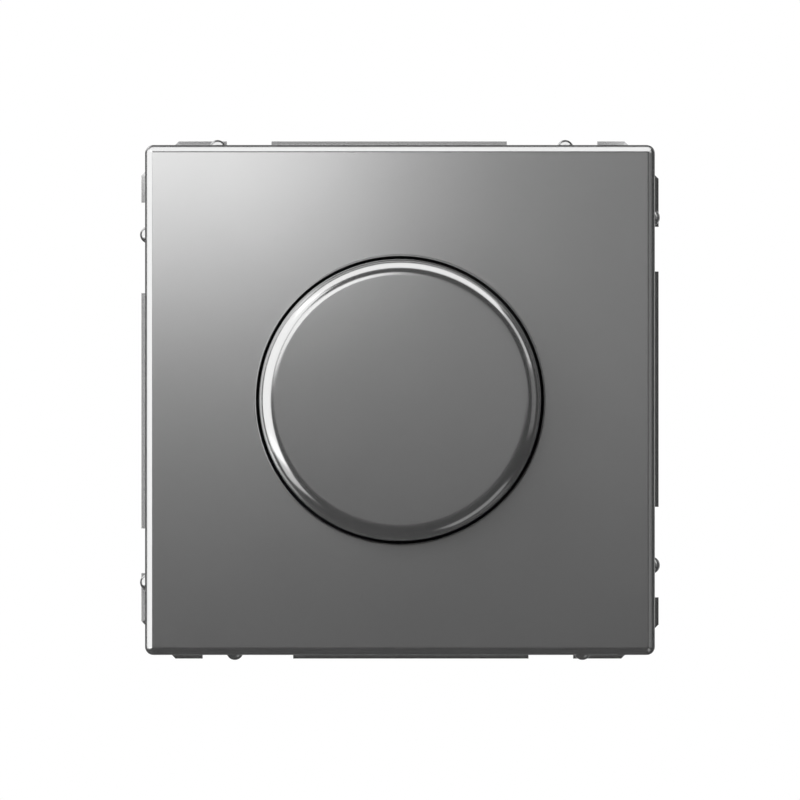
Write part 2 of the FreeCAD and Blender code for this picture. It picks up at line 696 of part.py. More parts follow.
def make_plate_nut():
    body = piece("plate_nut")
    ring = circles(body, "clamp_ring", [("0", "0", "clamp_radius")], lift="floor_front")
    pad(body, ring, "clamp_height")
    bevelled(body, "clamp_edge", "clamp_bevel", at_height("floor_front + clamp_height"))
    hole = circles(body, "clamp_hole", [("0", "0", "bush_hole")], lift="floor_front + clamp_height")
    pocket(body, hole, "clamp_height")
    dents = [("clamp_radius + dent_offset", "0", "dent_radius")]
    dent = circles(body, "grip_dent", dents, lift="floor_front + clamp_height")
    around(body, "grip_dents", [pocket(body, dent, "clamp_height")], 12)


# Support frame: pressed sheet with four screw slots and a notch round each claw screw
def make_support_frame():
    body = piece("support_frame")
    sheet_outline = outline(body, "frame_outline", cut_corners("frame_half", "frame_half", "frame_cut"))
    pad(body, sheet_outline, "frame_sheet")
    opening = cut_corners("half_width + frame_gap", "half_height + frame_gap", "housing_cut")
    pocket(body, outline(body, "frame_opening", opening, lift="frame_sheet"), "frame_sheet")
    middle = "(slot_length - slot_width) / 2"
    corners = box_corners(
        "slot_radius - slot_width / 2",
        "slot_radius + slot_width / 2",
        f"-1 * {middle}",
        middle,
    )
    straight = pocket(body, outline(body, "slot_middle", corners, lift="frame_sheet"), "frame_sheet")
    ends = [("slot_radius", middle, "slot_width / 2"), ("slot_radius", f"-1 * {middle}", "slot_width / 2")]
    first = pocket(body, circles(body, "slot_end", ends[:1], lift="frame_sheet"), "frame_sheet")
    second = pocket(body, circles(body, "slot_other_end", ends[1:], lift="frame_sheet"), "frame_sheet")
    around(body, "screw_slots", [straight, first, second], 4)
    notch = "claw_screw_across + claw_screw + loose_gap * 2"
    window = "claw_width / 2 + frame_gap"
    for word, side in (("right", 1), ("left", -1)):
        corners = box_corners(f"{side} * half_width", f"{side} * ({notch})", "-1 * claw_notch", "claw_notch")
        pocket(body, outline(body, f"{word}_notch", corners, lift="frame_sheet"), "frame_sheet")
        edge = f"{side} * (claw_outer + frame_gap)"
        corners = box_corners(f"{side} * half_width", edge, f"-1 * ({window})", window)
        pocket(body, outline(body, f"{word}_window", corners, lift="frame_sheet"), "frame_sheet")


# Housing: two moulded shells, joined behind the support frame
def make_front_shell():
    body = piece("front_shell")
    walls = cut_corners("half_width", "half_height", "housing_cut")
    pad(body, outline(body, "front_walls", walls, lift="-1 * split_depth"), "shell_front + split_depth")
    flange = cut_corners("half_width + flange_reach", "half_height + flange_reach", "housing_cut")
    pad(body, outline(body, "flange", flange, lift="frame_sheet"), "flange_sheet")
    for name, side in (("right_bay", 1), ("left_bay", -1)):
        corners = box_corners(
            f"{side} * half_width",
            f"{side} * (half_width + 2 * flange_reach)",
            "-1 * claw_bay",
            "claw_bay",
        )
        pocket(body, outline(body, name, corners, lift="shell_front"), "flange_sheet")
    inner = cut_corners("half_width - housing_wall", "half_height - housing_wall", "housing_cut")
    hollow = outline(body, "front_hollow", inner, lift="-1 * split_depth")
    pocket(body, hollow, "frame_sheet + split_depth", True)
    boss = circles(body, "recess_boss", [("0", "0", "recess_radius + flange_sheet")], lift="bush_seat")
    pad(body, boss, "shell_front - bush_seat")
    recess = circles(body, "nut_recess", [("0", "0", "recess_radius")], lift="shell_front")
    pocket(body, recess, "recess_depth")
    passage = circles(body, "bush_through", [("0", "0", "bush_hole")], lift="recess_floor")
    pocket(body, passage, "flange_sheet")
    spots = [(f"{side} * shell_screw_across", "shell_screw_up") for side in (1, -1)]
    posts = [(across, up, "boss_radius") for across, up in spots]
    drawing = circles(body, "front_posts", posts, lift="-1 * split_depth")
    pad(body, drawing, "split_depth + frame_sheet + flange_sheet / 2")
    heads = [(across, up, "shell_screw_head + loose_gap") for across, up in spots]
    pocket(body, circles(body, "screw_recesses", heads, lift="shell_front"), "shell_front - shell_head_seat")
    holes = [(across, up, "shell_screw + loose_gap") for across, up in spots]
    through = circles(body, "screw_holes", holes, lift="shell_head_seat")
    pocket(body, through, "shell_head_seat + split_depth")
    window = circles(
        body,
        "trimmer_window",
        [("trimmer_across", "trimmer_up", "trimmer_disc + loose_gap")],
        lift="shell_front",
    )
    pocket(body, window, "flange_sheet")


def make_rear_shell():
    body = piece("rear_shell")
    walls = cut_corners("half_width", "half_height", "housing_cut")
    rear = outline(body, "rear_walls", walls, lift="-1 * housing_depth")
    pad(body, rear, "housing_depth - split_depth")
    bevelled(body, "rear_edges", "rear_bevel", at_height("-1 * housing_depth"))
    inner = cut_corners("half_width - housing_wall", "half_height - housing_wall", "housing_cut")
    hollow = outline(body, "rear_hollow", inner, lift="-1 * split_depth")
    pocket(body, hollow, "housing_depth - split_depth - housing_wall")
    spots = [(f"{side} * shell_screw_across", "shell_screw_up", "boss_radius") for side in (1, -1)]
    posts = circles(body, "rear_posts", spots, lift="housing_wall / 2 - housing_depth")
    pad(body, posts, "housing_depth - split_depth - housing_wall / 2")
    pilots = [(across, up, "shell_screw") for across, up, radius in spots]
    pilot = circles(body, "pilot_holes", pilots, lift="-1 * split_depth")
    pocket(body, pilot, "shell_screw_length - shell_head_seat - split_depth + pilot_spare")
    corners = box_corners(
        "-1 * block_half - loose_gap",
        "block_half + loose_gap",
        "block_low - loose_gap",
        "half_height + housing_wall",
    )
    bay = outline(body, "terminal_bay", corners, lift="block_front + loose_gap")
    pocket(body, bay, "block_depth + 2 * loose_gap")
    corners = box_corners(
        "-1 * vent_length / 2",
        "vent_length / 2",
        "-1 * vent_pitch * (vent_count - 1) / 2 - vent_width / 2",
        "-1 * vent_pitch * (vent_count - 1) / 2 + vent_width / 2",
    )
    vent = pocket(
        body,
        outline(body, "vent", corners, lift="housing_wall - housing_depth"),
        "housing_wall",
    )
    row_of(body, "vents", [vent], "Y_Axis", "vent_pitch", int(size("vent_count")))


def make_shell_screws():
    body = piece("shell_screws", up="shell_screw_up", out="shell_head_seat")
    places = [(f"{side} * shell_screw_across", "0") for side in (1, -1)]
    heads = [(across, up, "shell_screw_head") for across, up in places]
    pad(body, circles(body, "shell_heads", heads), "shell_screw_rise")
    shanks = [(across, up, "shell_screw - thread_play") for across, up in places]
    pad(body, circles(body, "shell_shanks", shanks), "shell_screw_length", True)
    for index, place in enumerate(places):
        drive_slot(body, f"shell_drive_{index}", "shell_screw_rise", "shell_screw_head", place)


# Potentiometer
def make_pot_body():
    body = piece("pot_body")
    half = "pot_size / 2"
    square = box_corners(f"-1 * {half}", half, f"-1 * {half}", half)
    pad(body, outline(body, "pot_square", square, lift="pot_rear"), "pot_depth")
    rounded(body, "pot_corners", "case_corner", is_upright)
    hollow = circles(body, "pot_hollow", [("0", "0", "pot_bore")], lift="pot_rear")
    pocket(body, hollow, "pot_depth - pot_front_wall", True)
    hole = circles(body, "pot_hole", [("0", "0", "shaft_radius + loose_gap")], lift="pot_front")
    pocket(body, hole, "pot_front_wall")


def make_resistive_track():
    body = piece("resistive_track")
    rings = [("0", "0", "track_outer"), ("0", "0", "track_inner")]
    pad(body, circles(body, "track_ring", rings, lift="track_rear"), "track_sheet")
    gap = box_corners("-1 * track_gap / 2", "track_gap / 2", "-1 * track_outer - track_gap", "0")
    pocket(body, outline(body, "track_gap", gap, lift="track_rear + track_sheet"), "track_sheet")


def make_wiper_rotor():
    body = piece("wiper_rotor")
    turned(
        body,
        "rotor_disc",
        [
            ("0", "rotor_front"),
            ("rotor_radius", "rotor_front"),
            ("rotor_radius", "rotor_front - rotor_sheet"),
            ("rotor_hub", "rotor_front - rotor_sheet"),
            ("rotor_hub", "pot_rear + fit_gap"),
            ("0", "pot_rear + fit_gap"),
        ],
    )
    bore = circles(body, "rotor_bore", [("0", "0", "shaft_bore + fit_gap")], lift="rotor_front")
    pocket(body, bore, "rotor_front - pot_rear")
    corners = box_corners("-1 * shaft_radius", "shaft_radius", "shaft_flat + 2 * fit_gap", "shaft_bore")
    flat = outline(body, "rotor_flat", corners, lift="pot_rear + fit_gap")
    pad(body, flat, "rotor_front - pot_rear - fit_gap")


def make_wiper_contact():
    body = piece("wiper_contact")
    corners = box_corners(
        "-1 * wiper_width / 2",
        "wiper_width / 2",
        "track_inner - loose_gap",
        "rotor_radius - 2 * loose_gap",
    )
    pad(body, outline(body, "contact_leaf", corners, lift="rotor_front"), "wiper_sheet")
    domes = [("0", "(track_inner + track_outer) / 2", "wiper_dome")]
    dome = circles(body, "contact_dome", domes, lift="rotor_front")
    pad(body, dome, "wiper_sheet + wiper_rise")


# Push switch
def make_switch_body():
    body = piece("switch_body")
    half = "pot_size / 2"
    square = box_corners(f"-1 * {half}", half, f"-1 * {half}", half)
    pad(body, outline(body, "switch_square", square, lift="switch_rear"), "switch_depth")
    rounded(body, "switch_corners", "case_corner", is_upright)
    inner = "pot_size / 2 - switch_wall"
    room = "plunger_flange + plunger_room"
    hollow = box_corners(f"-1 * ({inner})", inner, f"-1 * ({room})", room)
    drawing = outline(body, "switch_hollow", hollow, lift="switch_rear")
    pocket(body, drawing, "switch_depth - switch_wall", True)
    hole = circles(body, "switch_hole", [("0", "0", "shaft_bore")], lift="pot_rear")
    pocket(body, hole, "switch_wall")


def make_switch_plunger():
    body = piece("switch_plunger")
    turned(
        body,
        "plunger",
        [
            ("0", "plunger_front"),
            ("shaft_radius", "plunger_front"),
            ("shaft_radius", "flange_front"),
            ("plunger_flange", "flange_front"),
            ("plunger_flange", "flange_rear"),
            ("plunger_tail", "flange_rear"),
            ("plunger_tail", "bridge_rear - tail_length"),
            ("0", "bridge_rear - tail_length"),
        ],
    )


def make_contact_bridge():
    body = piece("contact_bridge")
    corners = box_corners(
        "-1 * bridge_length / 2",
        "bridge_length / 2",
        "-1 * bridge_width / 2",
        "bridge_width / 2",
    )
    pad(body, outline(body, "bridge_strip", corners, lift="bridge_rear"), "bridge_sheet")
    collars = [("0", "0", "spring_radius + spring_wire + bridge_sheet")]
    collar = circles(body, "bridge_collar", collars, lift="bridge_rear")
    pad(body, collar, "bridge_sheet")
    hole = circles(body, "bridge_hole", [("0", "0", "plunger_tail + fit_gap")], lift="bridge_rear")
    pocket(body, hole, "bridge_sheet", True)


def make_switch_contacts():
    body = piece("switch_contacts")
    for name, side in (("right_contact", 1), ("left_contact", -1)):
        corners = box_corners(
            f"{side} * (bridge_length / 2 - contact_width)",
            f"{side} * bridge_length / 2",
            "-1 * bridge_width / 2",
            "bridge_width / 2",
        )
        strip = outline(body, name, corners, lift="board_front")
        pad(body, strip, "bridge_rear - contact_gap - board_front")


def make_switch_spring():
    body = piece("switch_spring")
    corners = []
    for out, along in ((1, 0), (0.5, 1), (-0.5, 1), (-1, 0), (-0.5, -1), (0.5, -1)):
        across = f"spring_radius + {out} * spring_wire"
        corners.append((across, f"(1 + {along} * sqrt(3) / 2) * spring_wire + loose_gap"))
    wire = outline(body, "wire", corners, "XZ_Plane")
    coil = body.newObject("PartDesign::AdditiveHelix", "coil")
    coil.Profile = wire
    coil.ReferenceAxis = (wire, ["V_Axis"])
    coil.Mode = "height-turns-angle"
    coil.setExpression("Height", bound("bridge_rear - board_front - 2 * spring_wire - 2 * loose_gap"))
    coil.setExpression("Turns", bound("spring_turns"))
    body.setExpression("Placement.Base.y", bound("-1 * (board_front)"))


# Circuit board and what stands on it
def make_circuit_board():
    body = piece("circuit_board")
    corners = box_corners("-1 * board_width / 2", "board_width / 2", "board_low", "board_high")
    pad(body, outline(body, "board", corners, lift="board_rear"), "board_sheet")


def make_choke():
    core = piece("choke_core", "choke_across", "choke_up", "board_front")
    turned(
        core,
        "drum",
        [
            ("0", "0"),
            ("choke_radius", "0"),
            ("choke_radius", "choke_disc"),
            ("choke_post", "choke_disc"),
            ("choke_post", "choke_length - choke_disc"),
            ("choke_radius", "choke_length - choke_disc"),
            ("choke_radius", "choke_length"),
            ("0", "choke_length"),
        ],
    )
    winding = piece("choke_winding", "choke_across", "choke_up", "board_front")
    rings = [("0", "0", "winding_radius"), ("0", "0", "choke_post")]
    pad(winding, circles(winding, "turns", rings, lift="choke_disc"), "choke_length - 2 * choke_disc")


def make_capacitor():
    body = piece("capacitor", "capacitor_across", "capacitor_up", "board_front")
    corners = box_corners(
        "-1 * capacitor_width / 2",
        "capacitor_width / 2",
        "-1 * capacitor_length / 2",
        "capacitor_length / 2",
    )
    pad(body, outline(body, "capacitor_box", corners), "capacitor_height")
    bevelled(body, "capacitor_edges", "capacitor_bevel", at_height("capacitor_height"))


def make_heat_sink():
    body = piece("heat_sink", up="sink_low", out="board_front")
    height = "triac_legs + triac_body + triac_tab_length"
    corners = box_corners("-1 * sink_width / 2", "sink_width / 2", "0", "sink_sheet")
    pad(body, outline(body, "sink_wall", corners), height)
    corners = box_corners("-1 * sink_width / 2", "sink_width / 2", "-1 * sink_foot", "sink_sheet")
    foot = outline(body, "sink_head", corners, lift=height)
    pad(body, foot, "sink_sheet", True)
    bores = [("0", f"{height} - triac_tab_length / 2", "triac_screw + fit_gap")]
    bore = circles(body, "sink_bore", bores, "XZ_Plane")
    pocket(body, bore, "sink_sheet")


def make_triac():
    body = piece("triac", up="sink_low + sink_sheet", out="board_front")
    half = "triac_width / 2"
    height = "triac_legs + triac_body + triac_tab_length - sink_sheet"
    corners = box_corners(f"-1 * {half}", half, "0", "triac_tab")
    tab = outline(body, "triac_tab_plate", corners, lift="triac_legs")
    pad(body, tab, f"{height} - triac_legs")
    corners = box_corners(f"-1 * {half}", half, "0", "triac_depth")
    pad(body, outline(body, "triac_case", corners, lift="triac_legs"), "triac_body")
    for index in (-1, 0, 1):
        corners = box_corners(
            f"{index} * leg_pitch - leg_width / 2",
            f"{index} * leg_pitch + leg_width / 2",
            "triac_tab",
            "triac_tab + leg_sheet",
        )
        name = ("left_leg", "middle_leg", "right_leg")[index + 1]
        pad(body, outline(body, name, corners), "triac_legs")
    hole = "triac_legs + triac_body + triac_tab_length / 2"
    bore = circles(body, "triac_bore", [("0", hole, "triac_screw + loose_gap")], "XZ_Plane")
    pocket(body, bore, "triac_tab")


def make_triac_screw():
    body = piece("triac_screw", up="sink_low + sink_sheet + triac_tab", out="board_front")
    hole = "triac_legs + triac_body + triac_tab_length / 2"
    head = circles(body, "triac_head", [("0", hole, "triac_screw_head")], "XZ_Plane")
    pad(body, head, "triac_screw_rise", True)
    shank = circles(body, "triac_shank", [("0", hole, "triac_screw")], "XZ_Plane")
    pad(body, shank, "triac_tab + sink_sheet")


# Trimmer behind its window in the front shell
def make_trimmer():
    case = piece("trimmer_body", "trimmer_across", "trimmer_up", "frame_sheet")
    pad(case, circles(case, "trimmer_case", [("0", "0", "trimmer_radius")]), "trimmer_depth", True)
    hollow = circles(case, "trimmer_cup", [("0", "0", "trimmer_disc + fit_gap")])
    pocket(case, hollow, "trimmer_hollow")
    disc = piece("trimmer_rotor", "trimmer_across", "trimmer_up", "frame_sheet")
    face = circles(disc, "trimmer_face", [("0", "0", "trimmer_disc")], lift="fit_gap - trimmer_hollow")
    pad(disc, face, "trimmer_hollow + flange_sheet - trimmer_sink")
    drive_slot(disc, "trimmer_slot", "flange_sheet - trimmer_sink + fit_gap", "trimmer_disc")


# Terminal block with three clamps and their screws
TERMINALS = (-1, 0, 1)


def make_terminal_block():
    body = piece("terminal_block")
    corners = box_corners("-1 * block_half", "block_half", "block_low", "block_high")
    pad(body, outline(body, "block", corners, lift="block_rear"), "block_depth")
    places = [f"{index} * terminal_pitch" for index in TERMINALS]
    entries = circles(
        body,
        "wire_entries",
        [(place, "entry_up", "entry_radius") for place in places],
        lift="block_rear",
    )
    pocket(body, entries, "entry_depth", True)
    for index, place in enumerate(places):
        corners = box_corners(
            f"{place} - chamber_half",
            f"{place} + chamber_half",
            "entry_up - cage_height / 2 - fit_gap",
            "entry_up + cage_height / 2 + fit_gap",
        )
        chamber = outline(body, f"chamber_{index}", corners, lift="block_front")
        pocket(body, chamber, "block_front - cage_rear")
    screws = [(place, "cage_rear + cage_depth / 2", "clamp_screw_head + loose_gap") for place in places]
    access = circles(body, "screw_access", screws, "XZ_Plane", "-1 * block_high")
    pocket(body, access, "block_high - screw_seat + loose_gap", True)


def make_terminal_clamps():
    for number, index in enumerate(TERMINALS, 1):
        body = piece(f"terminal_clamp_{number}", f"{index} * terminal_pitch", "entry_up", "cage_rear")
        corners = box_corners(
            "-1 * cage_width / 2",
            "cage_width / 2",
            "-1 * cage_height / 2",
            "cage_height / 2",
        )
        pad(body, outline(body, f"cage_{number}", corners), "cage_depth")
        hole = circles(body, f"core_hole_{number}", [("0", "0", "core_radius")], lift="cage_depth")
        pocket(body, hole, "cage_depth")
        thread = circles(
            body,
            f"cage_thread_{number}",
            [("0", "cage_depth / 2", "clamp_screw + thread_play")],
            "XZ_Plane",
            "-1 * cage_height / 2",
        )
        pocket(body, thread, "cage_height / 2", True)


def make_terminal_screws():
    body = piece("terminal_screws", up="screw_seat", out="cage_rear + cage_depth / 2")
    places = [f"{index} * terminal_pitch" for index in TERMINALS]
    heads = circles(body, "clamp_heads", [(place, "0", "clamp_screw_head") for place in places], "XZ_Plane")
    pad(body, heads, "clamp_screw_rise", True)
    shanks = circles(body, "clamp_shanks", [(place, "0", "clamp_screw") for place in places], "XZ_Plane")
    pad(body, shanks, "loose_gap + cage_height / 2 - core_radius")
    for index, place in enumerate(places):
        corners = box_corners(
            f"{place} - clamp_screw_head",
            f"{place} + clamp_screw_head",
            "-1 * drive_slot / 2",
            "drive_slot / 2",
        )
        slot = outline(body, f"clamp_drive_{index}", corners, "XZ_Plane", "-1 * clamp_screw_rise")
        pocket(body, slot, "drive_slot", True)


# Claws: bent strips hinged behind the support frame, each with a long screw through its foot
def make_claw(word, side):
    body = piece(f"{word}_claw")
    corners = [
        ("claw_inner", "claw_foot"),
        ("claw_reach", "claw_foot"),
        ("claw_reach", "claw_foot + claw_sheet + claw_tooth"),
        ("claw_reach - claw_sheet", "claw_foot + claw_sheet + claw_tooth / 2"),
        ("claw_reach - claw_sheet", "claw_foot + claw_sheet"),
        ("claw_outer", "claw_foot + claw_sheet"),
        ("claw_outer", "-1 * claw_hinge_depth"),
        ("claw_outer - claw_sheet / 4", "claw_top"),
        ("claw_inner + claw_sheet / 4", "claw_top"),
        ("claw_inner", "-1 * claw_hinge_depth"),
    ]
    mirrored = [(f"{side} * ({across})", up) for across, up in corners]
    pad(body, outline(body, f"{word}_strip", mirrored, "XZ_Plane"), "claw_width", both_ways=True)
    hole = circles(
        body,
        f"{word}_foot_hole",
        [(f"{side} * claw_screw_across", "0", "claw_screw + fit_gap")],
        lift="claw_foot + claw_sheet",
    )
    pocket(body, hole, "claw_sheet")
    gap = box_corners(
        f"{side} * (claw_reach - 1.5 * claw_sheet)",
        f"{side} * (claw_reach + claw_sheet)",
        "-1 * tooth_gap / 2",
        "tooth_gap / 2",
    )
    drawing = outline(body, f"{word}_tooth_gap", gap, lift="claw_foot + claw_sheet + claw_tooth")
    pocket(body, drawing, "claw_sheet + claw_tooth")


def make_claw_screw(word, side):
    body = piece(f"{word}_claw_screw", f"{side} * claw_screw_across", out="claw_head_seat")
    turned(
        body,
        f"{word}_screw",
        [
            ("0", "claw_screw_rise"),
            ("claw_screw_head", "claw_screw_rise"),
            ("claw_screw_head", "0"),
            ("claw_screw", "0"),
            ("claw_screw", "claw_foot - claw_head_seat - claw_screw_tip + tip_bevel"),
            ("claw_screw - tip_bevel", "claw_foot - claw_head_seat - claw_screw_tip"),
            ("0", "claw_foot - claw_head_seat - claw_screw_tip"),
        ],
    )
    for name, along in ((f"{word}_drive", False), (f"{word}_cross_drive", True)):
        drive_slot(body, name, "claw_screw_rise", "cross_reach", axis_up=along)


make_cover_plate()
make_rotary_knob()
make_knob_grip_spring()
make_control_shaft()
make_control_bush()
make_bush_washer()
make_bush_nut()
make_plate_nut()
make_support_frame()
make_front_shell()
make_rear_shell()
make_shell_screws()
make_pot_body()
make_resistive_track()
make_wiper_rotor()
make_wiper_contact()
make_switch_body()
make_switch_plunger()
make_contact_bridge()
make_switch_contacts()
make_switch_spring()
make_circuit_board()
make_choke()
make_capacitor()
make_heat_sink()
make_triac()
make_triac_screw()
make_trimmer()
make_terminal_block()
make_terminal_clamps()
make_terminal_screws()
for word, side in (("left", -1), ("right", 1)):
    make_claw(word, side)
    make_claw_screw(word, side)

doc.recompute()
for thing in doc.Objects:
    if "Invalid" in thing.State or "Error" in thing.State:
        raise ValueError(f"{thing.Name} failed: {thing.State}")
for body in pieces:
    if body.Shape.isNull() or not body.Shape.isValid() or not body.Shape.Solids:
        raise ValueError(f"{body.Label} is not a closed solid")

os.makedirs("parts", exist_ok=True)
for body in pieces:
    body.Shape.exportStep(f"parts/{body.Label}.step")
    print(body.Label, len(body.Shape.Solids), round(body.Shape.Volume, 2))
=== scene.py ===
import math

import bpy
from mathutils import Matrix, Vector


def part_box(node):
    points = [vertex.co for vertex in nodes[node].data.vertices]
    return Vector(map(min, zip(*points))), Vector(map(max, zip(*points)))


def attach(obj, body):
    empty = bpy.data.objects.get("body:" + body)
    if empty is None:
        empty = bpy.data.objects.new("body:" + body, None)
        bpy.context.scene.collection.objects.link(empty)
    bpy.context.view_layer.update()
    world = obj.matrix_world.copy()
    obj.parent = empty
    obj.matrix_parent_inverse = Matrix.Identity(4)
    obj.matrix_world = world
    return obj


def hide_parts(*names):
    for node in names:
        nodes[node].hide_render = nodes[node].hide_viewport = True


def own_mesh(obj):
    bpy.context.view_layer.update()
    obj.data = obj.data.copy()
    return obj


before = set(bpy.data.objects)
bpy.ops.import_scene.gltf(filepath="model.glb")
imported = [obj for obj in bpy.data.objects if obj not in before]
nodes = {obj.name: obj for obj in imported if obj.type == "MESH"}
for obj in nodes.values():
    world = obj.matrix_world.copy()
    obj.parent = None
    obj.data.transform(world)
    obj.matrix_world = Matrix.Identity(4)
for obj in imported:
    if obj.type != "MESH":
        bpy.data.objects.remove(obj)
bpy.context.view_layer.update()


# Rear shell of the housing: dark grey thermoplastic, injection moulded with a fine spark-eroded
# grain. It is screwed to the front shell from the front, and its vents let the heat out.
MM = 0.001


def start_material(name):
    """A new node material: returns it with its node tree and its shader."""
    material = bpy.data.materials.new(name)
    material.use_nodes = True
    tree = material.node_tree
    return material, tree, tree.nodes["Principled BSDF"]


def add_node(tree, kind, **values):
    """Adds a node and sets its inputs by name."""
    node = tree.nodes.new(kind)
    for name, value in values.items():
        node.inputs[name.replace("_", " ")].default_value = value
    return node


def object_noise(tree, scale, detail=3.0, stretch=(1.0, 1.0, 1.0)):
    """Noise fixed to the piece, in metres, stretched along chosen axes."""
    place = tree.nodes.new("ShaderNodeTexCoord")
    mapping = tree.nodes.new("ShaderNodeMapping")
    mapping.inputs["Scale"].default_value = stretch
    noise = add_node(tree, "ShaderNodeTexNoise", Scale=scale, Detail=detail)
    tree.links.new(place.outputs["Object"], mapping.inputs["Vector"])
    tree.links.new(mapping.outputs["Vector"], noise.inputs["Vector"])
    return noise


def tone_between(tree, noise, shader, low, high):
    """Lets the noise move the colour a little between two tones."""
    ramp = tree.nodes.new("ShaderNodeValToRGB")
    for stop, position, tone in zip(ramp.color_ramp.elements, (0.3, 0.7), (low, high)):
        stop.position = position
        stop.color = (*tone, 1.0)
    tree.links.new(noise.outputs["Fac"], ramp.inputs["Fac"])
    tree.links.new(ramp.outputs["Color"], shader.inputs["Base Color"])


def roughness_between(tree, noise, shader, low, high):
    """Lets the noise move the roughness between two values."""
    spread = tree.nodes.new("ShaderNodeMapRange")
    spread.inputs["To Min"].default_value = low
    spread.inputs["To Max"].default_value = high
    tree.links.new(noise.outputs["Fac"], spread.inputs["Value"])
    tree.links.new(spread.outputs["Result"], shader.inputs["Roughness"])


def bump_from(tree, noise, shader, height, strength, edge=0.0):
    """A fine surface relief of the given height in metres, with softly broken edges if asked."""
    bump = add_node(tree, "ShaderNodeBump", Strength=strength, Distance=height)
    tree.links.new(noise.outputs["Fac"], bump.inputs["Height"])
    tree.links.new(bump.outputs["Normal"], shader.inputs["Normal"])
    if edge:
        edge_samples = 6
        broken = add_node(tree, "ShaderNodeBevel", Radius=edge)
        broken.samples = edge_samples
        tree.links.new(broken.outputs["Normal"], bump.inputs["Normal"])


def moulded_plastic(name, low, high, roughness, grain=2500.0, grain_height=0.03 * MM):
    """Moulded plastic with a fine grain and a faint cloudiness of colour."""
    material, tree, shader = start_material(name)
    tone_between(tree, object_noise(tree, scale=60.0), shader, low, high)
    fine = object_noise(tree, grain, detail=2.0)
    roughness_between(tree, fine, shader, roughness - 0.06, roughness + 0.08)
    bump_from(tree, fine, shader, grain_height, strength=0.5, edge=0.25 * MM)
    return material


def dress(material, *names):
    """Gives carried-over nodes their finish."""
    for name in names:
        for slot in nodes[name].material_slots:
            slot.material = material


housing_grey = moulded_plastic(
    "housing_grey", (0.045, 0.046, 0.05), (0.06, 0.061, 0.066), roughness=0.5
)
dress(housing_grey, "rear_shell")


# Circuit board: glass laminate under green solder resist, held between the shells. The choke is
# a ferrite drum with enamelled copper, and the capacitor a potted film type.
board_green = moulded_plastic(
    "board_green", (0.012, 0.075, 0.035), (0.02, 0.11, 0.05), roughness=0.35, grain=900.0
)
dress(board_green, "circuit_board")
ferrite = moulded_plastic(
    "pressed_ferrite", (0.02, 0.02, 0.021), (0.04, 0.04, 0.042), roughness=0.6, grain=4000.0
)
dress(ferrite, "choke_core")
capacitor_yellow = moulded_plastic(
    "capacitor_yellow", (0.55, 0.3, 0.03), (0.62, 0.36, 0.04), roughness=0.3
)
dress(capacitor_yellow, "capacitor")


def metal(name, low, high, roughness, scale=400.0, stretch=(1.0, 1.0, 1.0), relief=0.004 * MM):
    """Bare or plated metal with a faint change of tone, gloss and relief."""
    material, tree, shader = start_material(name)
    shader.inputs["Metallic"].default_value = 1.0
    grain = object_noise(tree, scale, detail=4.0, stretch=stretch)
    tone_between(tree, grain, shader, low, high)
    roughness_between(tree, grain, shader, roughness - 0.08, roughness + 0.1)
    bump_from(tree, grain, shader, relief, strength=0.4, edge=0.15 * MM)
    return material


copper = metal(
    "enamelled_copper",
    (0.55, 0.2, 0.08),
    (0.72, 0.3, 0.13),
    roughness=0.25,
    scale=1500.0,
    stretch=(1.0, 8.0, 1.0),
)
dress(copper, "choke_winding")


# Triac on its heat sink: a black epoxy case screwed to an angle of bent aluminium sheet, which
# spreads its heat inside the housing.
epoxy_black = moulded_plastic(
    "epoxy_black", (0.012, 0.012, 0.013), (0.02, 0.02, 0.021), roughness=0.55
)
dress(epoxy_black, "triac")
mill_aluminium = metal(
    "mill_aluminium",
    (0.6, 0.6, 0.61),
    (0.7, 0.7, 0.71),
    roughness=0.35,
    scale=300.0,
    stretch=(1.0, 20.0, 1.0),
)
dress(mill_aluminium, "heat_sink")


# Push switch and potentiometer: black moulded cases, white moulded moving parts, contacts of
# brass and of spring steel. They stand on the board behind the threaded bush.
case_black = moulded_plastic(
    "case_black", (0.015, 0.015, 0.016), (0.025, 0.025, 0.027), roughness=0.45
)
dress(case_black, "switch_body", "pot_body")
acetal_white = moulded_plastic(
    "acetal_white", (0.66, 0.65, 0.6), (0.72, 0.71, 0.67), roughness=0.4
)
dress(acetal_white, "switch_plunger", "wiper_rotor")
carbon_film = moulded_plastic(
    "carbon_film", (0.01, 0.01, 0.01), (0.02, 0.02, 0.02), roughness=0.5, grain=6000.0
)
dress(carbon_film, "resistive_track")
contact_brass = metal("contact_brass", (0.6, 0.42, 0.16), (0.72, 0.53, 0.22), roughness=0.28)
dress(contact_brass, "contact_bridge", "switch_contacts")
spring_steel = metal(
    "spring_steel", (0.3, 0.3, 0.31), (0.42, 0.42, 0.43), roughness=0.3, scale=900.0
)
dress(spring_steel, "wiper_contact")


# Trimmer for the lowest brightness: a slotted disc of red plastic in a white case. It shows in a
# window of the front shell, where it can be reached once the cover plate is off.
trimmer_red = moulded_plastic(
    "trimmer_red", (0.42, 0.045, 0.02), (0.5, 0.06, 0.03), roughness=0.35
)
dress(trimmer_red, "trimmer_rotor")
dress(acetal_white, "trimmer_body")


# Bush, shaft and nut: turned brass, nickel plated. The nut clamps the bush to the front shell
# over a toothed washer, and the shaft turns and slides in the bush.
nickel = metal(
    "nickel_plate",
    (0.55, 0.53, 0.49),
    (0.66, 0.64, 0.6),
    roughness=0.22,
    scale=700.0,
    stretch=(1.0, 12.0, 1.0),
)
dress(nickel, "control_bush", "control_shaft", "bush_nut")


# Front shell of the housing: moulded in the same grey plastic as the rear shell. Its flange rests
# on the support frame.
dress(housing_grey, "front_shell")


